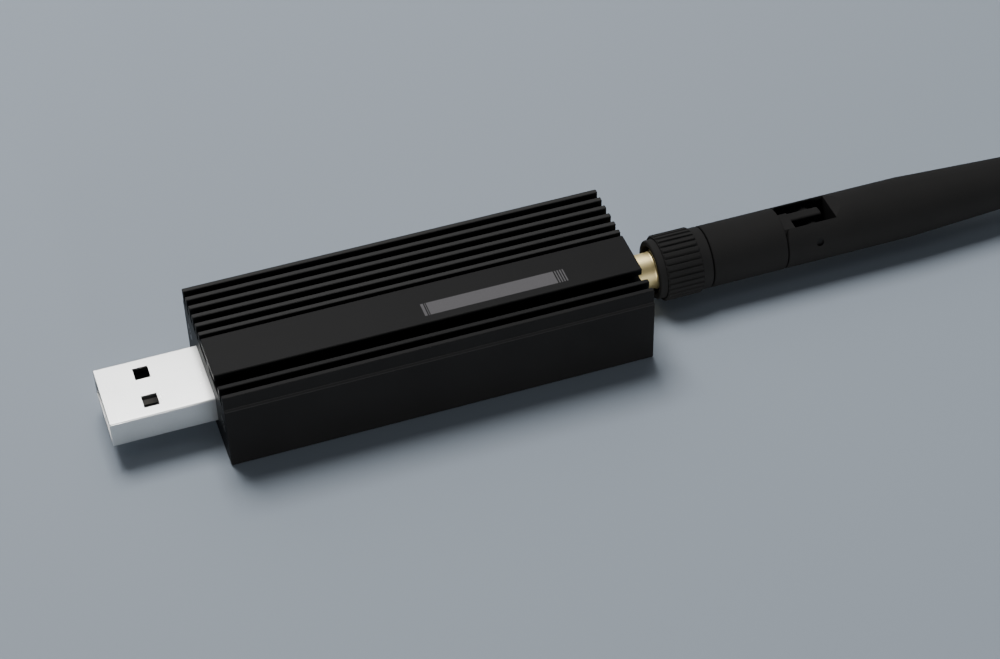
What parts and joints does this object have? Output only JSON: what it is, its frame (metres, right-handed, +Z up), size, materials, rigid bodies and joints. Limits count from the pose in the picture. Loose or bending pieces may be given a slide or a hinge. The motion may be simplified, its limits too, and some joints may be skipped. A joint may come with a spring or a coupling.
{
  "type": "smart home usb radio stick",
  "caption": "Finned black metal radio stick with a flat plug at one end and a swivelling, folding stub antenna at the other.",
  "frame": {"origin": "centre of the housing's flat underside", "axes": "+X towards the antenna, +Z up, +Y towards the side with more fins"},
  "size_m": [0.1934, 0.0254, 0.0134],
  "materials": {
    "black_aluminium": "satin black anodised extrusion",
    "black_plate": "black anodised sheet",
    "black_screw": "blackened steel",
    "plug_steel": "bright nickel-plated sheet steel",
    "plug_plastic": "black moulding",
    "contact_gold": "gold-plated contacts",
    "board_green": "green lacquered board",
    "chip_black": "moulded black epoxy",
    "tinned_can": "tinned sheet and small metal cans",
    "switch_grey": "dark grey switch housing",
    "button_white": "off-white button",
    "light_clear": "clear lens",
    "capacitor_tan": "tan ceramic",
    "coil_grey": "grey ferrite",
    "jack_gold": "gold-plated brass",
    "white_dielectric": "white dielectric",
    "nut_brass": "turned brass",
    "ring_steel": "spring steel",
    "grip_plastic": "ribbed black grip",
    "antenna_plastic": "matte black antenna moulding",
    "pin_steel": "dark steel pin",
    "coax_brown": "brown coax jacket",
    "dipole_brass": "drawn brass"
  },
  "bodies": {
    "housing": {"housing_extrusion": "black_aluminium", "usb_end_plate": "black_plate", "antenna_end_plate": "black_plate", "usb_plate_screws": "black_screw", "antenna_plate_screws": "black_screw", "plug_shell": "plug_steel", "plug_insulator": "plug_plastic", "plug_contacts": "contact_gold", "circuit_board": "board_green", "protection_chip": "chip_black", "serial_chip": "chip_black", "voltage_regulator": "chip_black", "boot_switch_frame": "switch_grey", "reset_switch_frame": "switch_grey", "status_lights": "light_clear", "capacitors": "capacitor_tan", "resistors": "chip_black", "inductors": "coil_grey", "shield_can": "tinned_can", "radio_chip": "chip_black", "radio_crystal": "tinned_can", "clock_crystal": "tinned_can", "jack_body": "jack_gold", "jack_insulator": "white_dielectric", "jack_centre_contact": "jack_gold", "connector_core": "jack_gold", "connector_insulator": "white_dielectric", "connector_pin": "jack_gold", "retaining_ring": "ring_steel"},
    "coupling_nut": {"coupling_nut": "nut_brass", "knurled_sleeve": "grip_plastic"},
    "swivel_base": {"swivel_base": "antenna_plastic", "base_coax": "coax_brown"},
    "blade": {"blade_shell": "antenna_plastic", "hinge_pin": "pin_steel", "blade_coax": "coax_brown", "dipole_sleeve": "dipole_brass", "dipole_wire": "dipole_brass"},
    "boot_button": {"boot_button": "button_white"},
    "reset_button": {"reset_button": "button_white"}
  },
  "joints": [
    {"name": "nut_spin", "type": "hinge", "parent": "housing", "child": "coupling_nut", "pos_m": [0.042, 0, 0.00555], "axis": [1, 0, 0], "continuous": true},
    {"name": "base_swivel", "type": "hinge", "parent": "housing", "child": "swivel_base", "pos_m": [0.052, 0, 0.00555], "axis": [1, 0, 0], "continuous": true},
    {"name": "blade_fold", "type": "hinge", "parent": "swivel_base", "child": "blade", "pos_m": [0.06373, 0, 0.00698], "axis": [0, -1, 0], "range_deg": [0, 90]},
    {"name": "boot_press", "type": "slide", "parent": "housing", "child": "boot_button", "axis": [0, 0, -1], "range_m": [0, 0.00025], "stiffness_N_per_m": 6400},
    {"name": "reset_press", "type": "slide", "parent": "housing", "child": "reset_button", "axis": [0, 0, -1], "range_m": [0, 0.00025], "stiffness_N_per_m": 6400}
  ]
}
